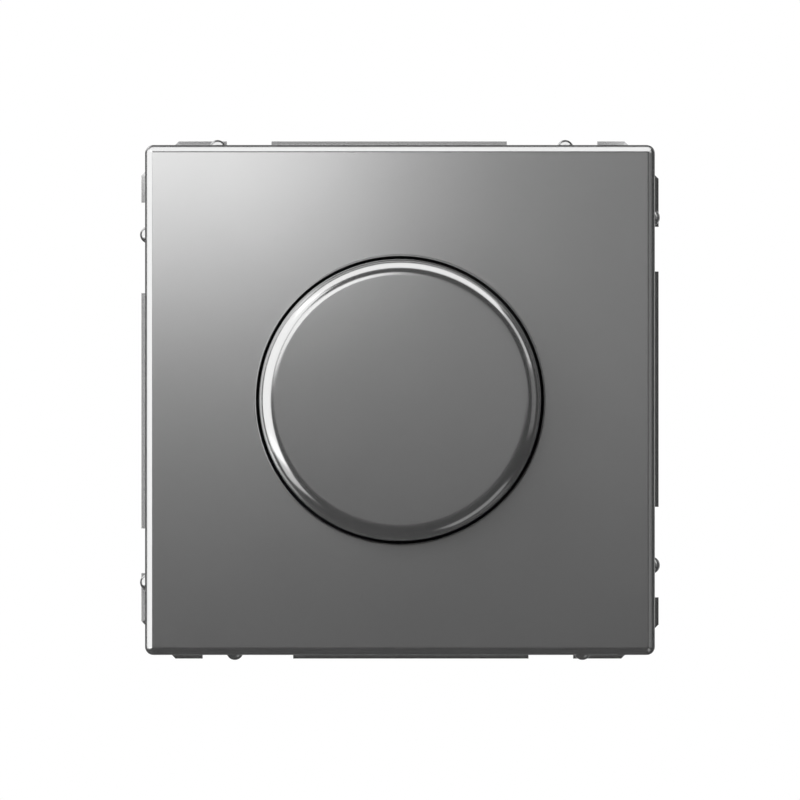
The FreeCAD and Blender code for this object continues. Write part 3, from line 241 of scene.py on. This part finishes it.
# Terminal block: off-white thermoplastic, moulded with three wire entries at the top of the rear.
# Behind each entry sits a box clamp of brass.
block_white = moulded_plastic(
    "block_white", (0.6, 0.59, 0.55), (0.66, 0.65, 0.61), roughness=0.42
)
dress(block_white, "terminal_block")
dress(contact_brass, "terminal_clamp_1", "terminal_clamp_2", "terminal_clamp_3")


# Support frame, claws and small screws: steel, pressed or cold headed, with bright zinc plating.
# The frame lies on the wall, and the claws spread in the box as their screws are turned.
zinc = metal(
    "bright_zinc",
    (0.5, 0.51, 0.53),
    (0.66, 0.67, 0.7),
    roughness=0.3,
    scale=220.0,
    relief=0.01 * MM,
)
dress(zinc, "support_frame", "left_claw", "right_claw")
dress(zinc, "terminal_screws", "shell_screws", "bush_washer", "triac_screw")


# Cover plate: one dark plastic moulding, lacquered in a satin metallic grey. The plate nut clamps
# it on the bush, and the ribs and bumps on its rim centre it in a cover frame.
def metallic_lacquer(name, low, high, roughness):
    """Satin metallic lacquer: fine flakes in a binder that scatters a little of the light."""
    material, tree, shader = start_material(name)
    shader.inputs["Metallic"].default_value = 0.9
    shader.inputs["Roughness"].default_value = roughness
    cloud = object_noise(tree, scale=90.0, detail=2.0)
    tone_between(tree, cloud, shader, (low, low, low), (high, high, high))
    flakes = object_noise(tree, scale=14000.0, detail=2.0)
    bump_from(tree, flakes, shader, height=0.002 * MM, strength=0.2)
    return material


lacquer = metallic_lacquer("plate_lacquer", low=0.55, high=0.565, roughness=0.2)
# Dark unlacquered plastic for the inside of the moulding. Inside the well it is also painted shade
# for the gap round the knob.
bare_plastic_and_well_shade = moulded_plastic(
    "bare_plastic_and_well_shade", (0.03, 0.03, 0.031), (0.04, 0.04, 0.042), roughness=0.5
)

plate_low, plate_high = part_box("cover_plate")
plate_half = 0.5 * 70.5 * MM
plate_front = plate_low.y
plate_rear = plate_high.y
plate_corner = 1.15 * MM
plate_edge = 1.1 * MM
edge_profile = 0.37
face_wall = 1.8 * MM
skirt_wall = 1.8 * MM
well_radius = 19.85 * MM
well_wall = 1.4 * MM
well_rear = -2.8 * MM
well_floor = 1.6 * MM
well_edge = 0.3 * MM
bush_hole = 5.1 * MM
web_wall = 1.2 * MM
web_rear = -5.2 * MM
guide_stand = 0.58 * MM
guide_chamfer = 0.55 * MM
guide_slope = 0.5 * MM
guide_slope_run = 0.62 * MM
guide_front = -5.8 * MM
guide_rear = -2.6 * MM
guide_runs = ((-31.2, -24.0, 1, 0), (-17.8, 14.8, 0, 0), (27.35, 31.65, 0, 1))
bump_radius = 1.2 * MM
bump_stand = 0.74 * MM
bump_place = -6.4 * MM
bump_runs = (-25.25, 22.86)
lacquer_reach_before_shade = 0.9 * MM
touch = 0.01 * MM


def alone(piece):
    """Selects one piece and nothing else."""
    if bpy.context.object and bpy.context.object.mode == "EDIT":
        bpy.ops.object.mode_set(mode="OBJECT")
    bpy.ops.object.select_all(action="DESELECT")
    piece.select_set(True)
    bpy.context.view_layer.objects.active = piece


def settle(piece):
    """Puts the piece's place and size into its mesh."""
    alone(piece)
    bpy.ops.object.transform_apply(location=True, rotation=True, scale=True)


def block(name, low, high):
    """A box between two corners, as a start for a piece or a cutter."""
    bpy.ops.object.select_all(action="DESELECT")
    middle = (Vector(low) + Vector(high)) / 2
    bpy.ops.mesh.primitive_cube_add(size=1.0, location=middle)
    piece = bpy.context.object
    piece.name = name
    piece.scale = Vector(high) - Vector(low)
    settle(piece)
    return piece


def drum(name, radius, low_y, high_y, sides=192):
    """A cylinder about the knob's axis between two depths."""
    bpy.ops.object.select_all(action="DESELECT")
    bpy.ops.mesh.primitive_cylinder_add(
        vertices=sides,
        radius=radius,
        depth=high_y - low_y,
        location=(0.0, (low_y + high_y) / 2, 0.0),
        rotation=(math.radians(90.0), 0.0, 0.0),
    )
    piece = bpy.context.object
    piece.name = name
    settle(piece)
    return piece


def combine(piece, tool, operation):
    """Joins a tool to a piece, or cuts it out, and removes the tool."""
    change = piece.modifiers.new("combine", "BOOLEAN")
    change.operation = operation
    change.solver = "EXACT"
    change.object = tool
    alone(piece)
    bpy.ops.object.modifier_apply(modifier=change.name)
    bpy.data.objects.remove(tool)


def bevel_edges(piece, width, steps, test, profile=0.5):
    """Rounds the edges whose two ends pass the test."""
    alone(piece)
    bpy.ops.object.mode_set(mode="EDIT")
    bpy.ops.mesh.select_mode(type="EDGE")
    bpy.ops.mesh.select_all(action="DESELECT")
    bpy.ops.object.mode_set(mode="OBJECT")
    points = piece.data.vertices
    for edge in piece.data.edges:
        first, second = (points[index].co for index in edge.vertices)
        edge.select = test(first, second)
    bpy.ops.object.mode_set(mode="EDIT")
    bpy.ops.mesh.bevel(
        offset=width,
        offset_type="OFFSET",
        segments=steps,
        profile=profile,
        affect="EDGES",
    )
    bpy.ops.object.mode_set(mode="OBJECT")


def finish_surface(piece, angle=35.0):
    """Smooth shading that keeps flat faces flat and crisp edges crisp."""
    alone(piece)
    bpy.ops.object.mode_set(mode="EDIT")
    bpy.ops.mesh.select_all(action="SELECT")
    bpy.ops.mesh.remove_doubles(threshold=0.001 * MM)
    bpy.ops.object.mode_set(mode="OBJECT")
    bpy.ops.object.shade_smooth_by_angle(angle=math.radians(angle))
    weighted = piece.modifiers.new("even_shading", "WEIGHTED_NORMAL")
    weighted.keep_sharp = True
    weighted.weight = 100
    bpy.ops.object.modifier_apply(modifier=weighted.name)


def at_depth(depth):
    """Test for edges that lie at one depth."""
    return lambda a, b: abs(a.y - depth) < touch and abs(b.y - depth) < touch


def slope_front(guide):
    """Gives a guide rib the lead-in slope that lets the cover frame slip over it."""
    bevel_edges(
        guide,
        guide_slope,
        steps=1,
        test=lambda a, b: min(a.z, b.z) > plate_half and max(a.y, b.y) < guide_front + touch,
    )
    bpy.ops.object.mode_set(mode="EDIT")
    bpy.ops.mesh.select_mode(type="VERT")
    bpy.ops.mesh.select_all(action="DESELECT")
    bpy.ops.object.mode_set(mode="OBJECT")
    slope_rear = guide_front + guide_slope
    for point in guide.data.vertices:
        point.select = point.co.z > plate_half and abs(point.co.y - slope_rear) < touch
    bpy.ops.object.mode_set(mode="EDIT")
    bpy.ops.transform.translate(value=(0.0, guide_slope_run - guide_slope, 0.0))
    bpy.ops.object.mode_set(mode="OBJECT")


plate = block(
    "plate", (-plate_half, plate_front, -plate_half), (plate_half, plate_rear, plate_half)
)
bevel_edges(plate, plate_corner, steps=8, test=lambda a, b: abs(a.y - b.y) > MM)
bevel_edges(plate, plate_edge, steps=10, test=at_depth(plate_front), profile=edge_profile)
inner = plate_half - skirt_wall
hollow = block(
    "hollow", (-inner, plate_front + face_wall, -inner), (inner, plate_rear + MM, inner)
)
combine(plate, hollow, "DIFFERENCE")
well = drum("well", well_radius + well_wall, plate_front + face_wall / 2, well_rear)
combine(plate, well, "UNION")
for turn in range(8):
    to_corner = turn % 2 == 1
    reach = inner * (math.sqrt(2) if to_corner else 1) + skirt_wall / 2
    start = (well_radius + well_wall / 2, plate_front + face_wall / 2, -web_wall / 2)
    web = block("web", start, (reach, web_rear, web_wall / 2))
    web.rotation_euler.y = math.radians(45.0 * turn)
    settle(web)
    combine(plate, web, "UNION")
opening = drum("opening", well_radius, plate_front - MM, well_rear - well_floor)
combine(plate, opening, "DIFFERENCE")
passage = drum("passage", bush_hole, well_rear - 2 * well_floor, well_rear + MM, sides=64)
combine(plate, passage, "DIFFERENCE")
bevel_edges(
    plate,
    well_edge,
    steps=5,
    test=lambda a, b: at_depth(plate_front)(a, b) and math.hypot(a.x, a.z) < well_radius + 0.1 * MM,
)
for side in range(4):
    for start, end, cut_start, cut_end in guide_runs:
        root = plate_half - skirt_wall / 2
        guide = block(
            "guide",
            (start * MM, guide_front, root),
            (end * MM, guide_rear, plate_half + guide_stand),
        )
        if cut_start or cut_end:
            corner = start * MM if cut_start else end * MM
            bevel_edges(
                guide,
                guide_chamfer,
                steps=1,
                test=lambda a, b: (
                    min(a.z, b.z) > plate_half
                    and max(abs(a.x - corner), abs(b.x - corner)) < touch
                ),
            )
        slope_front(guide)
        guide.rotation_euler.y = math.radians(90.0 * side)
        settle(guide)
        combine(plate, guide, "UNION")
    for place in bump_runs:
        bpy.ops.object.select_all(action="DESELECT")
        bpy.ops.mesh.primitive_uv_sphere_add(
            segments=48,
            ring_count=24,
            radius=bump_radius,
            location=(place * MM, bump_place, plate_half + bump_stand - bump_radius),
        )
        bump = bpy.context.object
        settle(bump)
        bump.rotation_euler.y = math.radians(90.0 * side)
        settle(bump)
        combine(plate, bump, "UNION")
finish_surface(plate)
plate.name = "plate_moulding"
plate.data.materials.clear()
plate.data.materials.append(lacquer)
plate.data.materials.append(bare_plastic_and_well_shade)
# Faces outside the skirt and near the front keep the lacquer. The rest get the dark plastic, which
# in the well is painted shade for the gap round the knob.
for face in plate.data.polygons:
    outside = max(abs(face.center.x), abs(face.center.z)) > inner + skirt_wall / 4
    in_front = face.center.y < plate_front + lacquer_reach_before_shade
    face.material_index = 0 if outside or in_front else 1
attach(plate, "root")
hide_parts("cover_plate")


# Plate nut: a round nut moulded in black plastic, with finger dents. It is screwed on to the bush
# under the knob and holds the cover plate.
dress(case_black, "plate_nut")


# Knob: one plastic moulding with a hub for the 6 mm shaft and six spokes, lacquered like the
# plate. It is pushed on to the shaft, and a leaf of spring steel in its hub grips the flat.
dress(spring_steel, "knob_grip_spring")
knob_low, knob_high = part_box("rotary_knob")
knob_radius = 19.35 * MM
knob_front = knob_low.y
knob_rear = knob_high.y
knob_shoulder = 2.25 * MM
knob_wall = 1.5 * MM
knob_face_wall = 1.8 * MM
knob_inner = knob_radius - knob_wall
hub_radius = 4.6 * MM
hub_rear = -9.4 * MM
hub_bore = 3.05 * MM
hub_floor = 2.0 * MM
spoke_wall = 1.1 * MM
spoke_rear = -10.8 * MM
rim_edge = 0.3 * MM

knob = drum("knob", knob_radius, knob_front, knob_rear, sides=240)
bevel_edges(knob, knob_shoulder, steps=20, test=at_depth(knob_front))
alone(knob)
bpy.ops.object.mode_set(mode="EDIT")
bpy.ops.mesh.select_mode(type="FACE")
bpy.ops.mesh.select_all(action="DESELECT")
bpy.ops.object.mode_set(mode="OBJECT")
for face in knob.data.polygons:
    face.select = face.normal.y > 0.99
bpy.ops.object.mode_set(mode="EDIT")
bpy.ops.mesh.inset(thickness=knob_wall)
bpy.ops.mesh.extrude_region_move(
    TRANSFORM_OT_translate={"value": (0.0, knob_front + knob_face_wall - knob_rear, 0.0)}
)
bpy.ops.object.mode_set(mode="OBJECT")
bevel_edges(knob, rim_edge, steps=3, test=at_depth(knob_rear))
hub = drum("hub", hub_radius, knob_front + knob_face_wall / 2, hub_rear, sides=96)
combine(knob, hub, "UNION")
for turn in range(6):
    spoke = block(
        "spoke",
        (hub_radius - knob_wall, knob_front + knob_face_wall / 2, -spoke_wall / 2),
        (knob_inner + knob_wall / 2, spoke_rear, spoke_wall / 2),
    )
    spoke.rotation_euler.y = math.radians(60.0 * turn)
    settle(spoke)
    combine(knob, spoke, "UNION")
bore = drum("bore", hub_bore, knob_front + hub_floor, hub_rear + MM, sides=64)
combine(knob, bore, "DIFFERENCE")
finish_surface(knob)
knob.name = "knob_moulding"
knob.data.materials.clear()
# The knob's lacquer is the plate's lacquer with a slightly darker tone, which is painted shade, and
# a little less roughness.
shaded_knob_lacquer = metallic_lacquer("shaded_knob_lacquer", low=0.515, high=0.53, roughness=0.17)
knob.data.materials.append(shaded_knob_lacquer)
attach(knob, "knob")
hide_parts("rotary_knob")


# Claw screws: cold headed steel with a rolled thread and a cross recess, zinc plated. Each one
# passes the notch of the support frame and turns in the foot of its claw.
screw_head = 2.6 * MM
screw_head_rise = 2.0 * MM
screw_head_edge = 0.4 * MM
thread_crest = 1.5 * MM
thread_core = 1.16 * MM
thread_pitch = 0.7 * MM
thread_start = 1.2 * MM
thread_root = 0.05 * MM
tip_bevel = 0.6 * MM
cross_half_width = 0.4 * MM
cross_depth = 0.8 * MM
cross_reach = 1.8 * MM


def wind_along(profile, turns, pitch, steps):
    """Winds a flat profile about the knob's axis into a closed coil."""
    wind = profile.modifiers.new("wind", "SCREW")
    wind.axis = "Y"
    wind.steps = steps
    wind.render_steps = steps
    wind.iterations = turns
    wind.screw_offset = pitch
    alone(profile)
    bpy.ops.object.modifier_apply(modifier=wind.name)
    bpy.ops.object.mode_set(mode="EDIT")
    bpy.ops.mesh.select_all(action="SELECT")
    bpy.ops.mesh.fill_holes(sides=0)
    bpy.ops.mesh.normals_make_consistent(inside=False)
    bpy.ops.object.mode_set(mode="OBJECT")


def threaded_screw(node):
    """A claw screw in the place of its plain CAD node."""
    low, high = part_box(node)
    seat = low.y + screw_head_rise
    screw = drum("screw", screw_head, low.y, seat, sides=64)
    bevel_edges(screw, screw_head_edge, steps=4, test=at_depth(low.y))
    core = drum("core", thread_core, seat - screw_head_rise / 4, high.y, sides=48)
    bevel_edges(core, tip_bevel, steps=1, test=at_depth(high.y))
    combine(screw, core, "UNION")
    for turn in (0.0, 90.0):
        slot = block(
            "slot",
            (-cross_reach, low.y - MM, -cross_half_width),
            (cross_reach, low.y + cross_depth, cross_half_width),
        )
        slot.rotation_euler.y = math.radians(turn)
        settle(slot)
        combine(screw, slot, "DIFFERENCE")
    ridge = thread_crest - thread_core + thread_root
    run = high.y - tip_bevel - ridge - seat - thread_start
    bpy.ops.object.select_all(action="DESELECT")
    bpy.ops.mesh.primitive_plane_add(
        size=ridge * math.sqrt(2.0),
        location=(thread_crest - ridge, seat + thread_start, 0.0),
        rotation=(0.0, 0.0, math.radians(45.0)),
    )
    thread = bpy.context.object
    settle(thread)
    wind_along(thread, turns=int(run / thread_pitch), pitch=thread_pitch, steps=24)
    alone(screw)
    thread.select_set(True)
    bpy.ops.object.join()
    screw.location.x = (low.x + high.x) / 2
    settle(screw)
    finish_surface(screw, angle=30.0)
    screw.name = node + "_threaded"
    screw.data.materials.clear()
    screw.data.materials.append(zinc)
    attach(screw, node)
    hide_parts(node)


threaded_screw("left_claw_screw")
threaded_screw("right_claw_screw")


# Switch spring: a coil wound from round wire of hard steel. It stands between the board and the
# contact bridge, and shortens as the knob is pushed in.
coil_wire = 0.2 * MM
coil_turns = 4
coil_low, coil_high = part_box("switch_spring")
coil_length = coil_high.y - coil_low.y
coil_radius = (coil_high.x - coil_low.x) / 2 - coil_wire

bpy.ops.object.select_all(action="DESELECT")
bpy.ops.mesh.primitive_circle_add(
    vertices=12,
    radius=coil_wire,
    location=(coil_radius, coil_low.y + coil_wire, 0.0),
)
coil = bpy.context.object
settle(coil)
wind_along(coil, coil_turns, pitch=(coil_length - 2 * coil_wire) / coil_turns, steps=32)
finish_surface(coil, angle=50.0)
coil.name = "switch_spring_coil"
coil.data.materials.append(spring_steel)
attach(coil, "root")
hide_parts("switch_spring")
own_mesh(coil)


# Floor: a plain pale surface below the part, which keeps its soft shadow. To the camera it runs
# out to the white of the background, and metal mirrors the background in its place.
floor_drop = 0.14
floor_reach = 1.75
floor_near = 0.25
floor_far = 0.7
floor_near_glow = 0.5
floor_grey = (0.85, 0.85, 0.85, 1.0)
pure_white = (1.0, 1.0, 1.0, 1.0)
bpy.ops.object.select_all(action="DESELECT")
bpy.ops.mesh.primitive_plane_add(size=2 * floor_reach, location=(0.0, 0.0, -floor_drop))
floor = bpy.context.object
floor.name = "floor"
settle(floor)
floor_paint, tree, shader = start_material("floor_paint")
shader.inputs["Base Color"].default_value = floor_grey
shader.inputs["Roughness"].default_value = 0.9
shader.inputs["Emission Color"].default_value = pure_white
path = tree.nodes.new("ShaderNodeLightPath")
place = tree.nodes.new("ShaderNodeTexCoord")
reach = tree.nodes.new("ShaderNodeVectorMath")
reach.operation = "LENGTH"
rim = tree.nodes.new("ShaderNodeMapRange")
rim.interpolation_type = "SMOOTHSTEP"
rim.inputs["From Min"].default_value = floor_near
rim.inputs["From Max"].default_value = floor_far
rim.inputs["To Min"].default_value = floor_near_glow
rim.inputs["To Max"].default_value = 1.0
to_camera = tree.nodes.new("ShaderNodeMath")
to_camera.operation = "MULTIPLY"
tree.links.new(place.outputs["Object"], reach.inputs[0])
tree.links.new(reach.outputs["Value"], rim.inputs["Value"])
tree.links.new(rim.outputs["Result"], to_camera.inputs[0])
tree.links.new(path.outputs["Is Camera Ray"], to_camera.inputs[1])
tree.links.new(to_camera.outputs["Value"], shader.inputs["Emission Strength"])
clear = tree.nodes.new("ShaderNodeBsdfTransparent")
mirrored = tree.nodes.new("ShaderNodeMath")
mirrored.operation = "MAXIMUM"
choice = tree.nodes.new("ShaderNodeMixShader")
tree.links.new(path.outputs["Is Glossy Ray"], mirrored.inputs[0])
tree.links.new(path.outputs["Is Transmission Ray"], mirrored.inputs[1])
tree.links.new(mirrored.outputs["Value"], choice.inputs["Fac"])
tree.links.new(shader.outputs["BSDF"], choice.inputs[1])
tree.links.new(clear.outputs["BSDF"], choice.inputs[2])
tree.links.new(choice.outputs["Shader"], tree.nodes["Material Output"].inputs["Surface"])
floor.data.materials.append(floor_paint)


# Background: white to the camera and, behind the part, in its mirrored rays; a dim studio in
# front of it. Matt surfaces get an even light from behind.
def studio_world(front_level, even_level, cone=(0.85, 0.99), half_blend=0.3):
    """World that is white to the camera and in a cone behind the part, and dim elsewhere."""
    world = bpy.data.worlds.new("studio")
    bpy.context.scene.world = world
    world.use_nodes = True
    tree = world.node_tree
    light = tree.nodes["Background"]
    light.inputs["Color"].default_value = pure_white
    path = tree.nodes.new("ShaderNodeLightPath")
    place = tree.nodes.new("ShaderNodeTexCoord")
    parts = tree.nodes.new("ShaderNodeSeparateXYZ")
    behind = tree.nodes.new("ShaderNodeMapRange")
    behind.interpolation_type = "SMOOTHSTEP"
    behind.inputs["From Min"].default_value, behind.inputs["From Max"].default_value = cone
    mirrored = tree.nodes.new("ShaderNodeMath")
    mirrored.operation = "MAXIMUM"
    backdrop = tree.nodes.new("ShaderNodeMath")
    backdrop.operation = "MULTIPLY"
    white = tree.nodes.new("ShaderNodeMath")
    white.operation = "MAXIMUM"
    level = tree.nodes.new("ShaderNodeMapRange")
    level.inputs["To Min"].default_value = front_level
    level.inputs["To Max"].default_value = 1.0
    even = tree.nodes.new("ShaderNodeMapRange")
    even.inputs["From Min"].default_value = -half_blend
    even.inputs["From Max"].default_value = half_blend
    even.inputs["To Min"].default_value = front_level
    even.inputs["To Max"].default_value = even_level
    matt = tree.nodes.new("ShaderNodeMath")
    matt.operation = "MULTIPLY"
    total = tree.nodes.new("ShaderNodeMath")
    total.operation = "MAXIMUM"
    tree.links.new(place.outputs["Generated"], parts.inputs["Vector"])
    tree.links.new(parts.outputs["Y"], behind.inputs["Value"])
    tree.links.new(path.outputs["Is Glossy Ray"], mirrored.inputs[0])
    tree.links.new(path.outputs["Is Transmission Ray"], mirrored.inputs[1])
    tree.links.new(mirrored.outputs["Value"], backdrop.inputs[0])
    tree.links.new(behind.outputs["Result"], backdrop.inputs[1])
    tree.links.new(path.outputs["Is Camera Ray"], white.inputs[0])
    tree.links.new(backdrop.outputs["Value"], white.inputs[1])
    tree.links.new(white.outputs["Value"], level.inputs["Value"])
    tree.links.new(parts.outputs["Y"], even.inputs["Value"])
    tree.links.new(path.outputs["Is Diffuse Ray"], matt.inputs[0])
    tree.links.new(even.outputs["Result"], matt.inputs[1])
    tree.links.new(level.outputs["Result"], total.inputs[0])
    tree.links.new(matt.outputs["Value"], total.inputs[1])
    tree.links.new(total.outputs["Value"], light.inputs["Strength"])


studio_world(front_level=0.035, even_level=0.5)


# Lamps: soft boxes round the part, which the camera doesn't see. The lacquer mirrors them, so
# each one stands where the photo shows its light on the plate or on the knob's shoulder.
def soft_box(name, across, up, distance, width, height, radiance):
    """A soft box that faces the part, placed by its angles from the knob's axis in degrees."""
    lamp = bpy.data.lights.new(name, "AREA")
    lamp.shape = "RECTANGLE"
    lamp.size = width
    lamp.size_y = height
    lamp.energy = radiance * math.pi * width * height
    piece = bpy.data.objects.new(name, lamp)
    bpy.context.scene.collection.objects.link(piece)
    direction = Vector((
        math.sin(math.radians(across)) * math.cos(math.radians(up)),
        -math.cos(math.radians(across)) * math.cos(math.radians(up)),
        math.sin(math.radians(up)),
    ))
    piece.location = direction * distance
    piece.rotation_euler = (-direction).to_track_quat("-Z", "Y").to_euler()
    piece.visible_camera = False


# Name, degrees across and up, then distance, width and height in metres, and radiance.
soft_box("front_box", -14.5, 14.5, 0.35, 0.167, 0.13, 1.68)
soft_box("front_fill", 8.0, 9.5, 0.6, 0.45, 0.24, 0.2)
soft_box("front_panel", 5.0, -3.0, 0.8, 0.5, 0.5, 0.03)
soft_box("left_box", -67.0, 11.0, 0.5, 0.675, 0.7, 1.65)
soft_box("low_left_box", -61.5, -26.5, 0.5, 0.35, 0.2, 0.9)
soft_box("top_box", 3.0, 78.0, 0.5, 1.1, 0.41, 1.6)
soft_box("upper_right_box", 76.5, 27.0, 0.5, 0.17, 0.22, 0.9)
soft_box("right_box", 71.0, 2.0, 0.5, 0.3, 0.28, 0.19)
soft_box("low_right_box", 70.0, -53.0, 0.5, 0.2, 0.3, 0.38)
soft_box("rear_box", -140.0, 35.0, 0.8, 0.5, 0.5, 1.2)
soft_box("right_rear_box", 138.0, 0.0, 0.8, 0.5, 0.8, 0.4)


# Camera: on the knob's axis, as in the photo, with a long lens that keeps the edges straight. It
# stands so far off that the plate fills the same share of the picture.
photo_width = 800.0
plate_pixels = 510.4
lens = 400.0
sensor = 36.0
view_width = 2 * plate_half * photo_width / plate_pixels
camera_data = bpy.data.cameras.new("camera")
camera_data.lens = lens
camera_data.sensor_width = sensor
camera = bpy.data.objects.new("camera", camera_data)
bpy.context.scene.collection.objects.link(camera)
camera.location = (0.0, plate_front - view_width * lens / sensor, 0.0)
camera.rotation_euler = (math.radians(90.0), 0.0, 0.0)
camera_data.clip_start = 0.01
camera_data.clip_end = 20.0
bpy.context.scene.camera = camera

bpy.context.scene.view_settings.view_transform = "Standard"
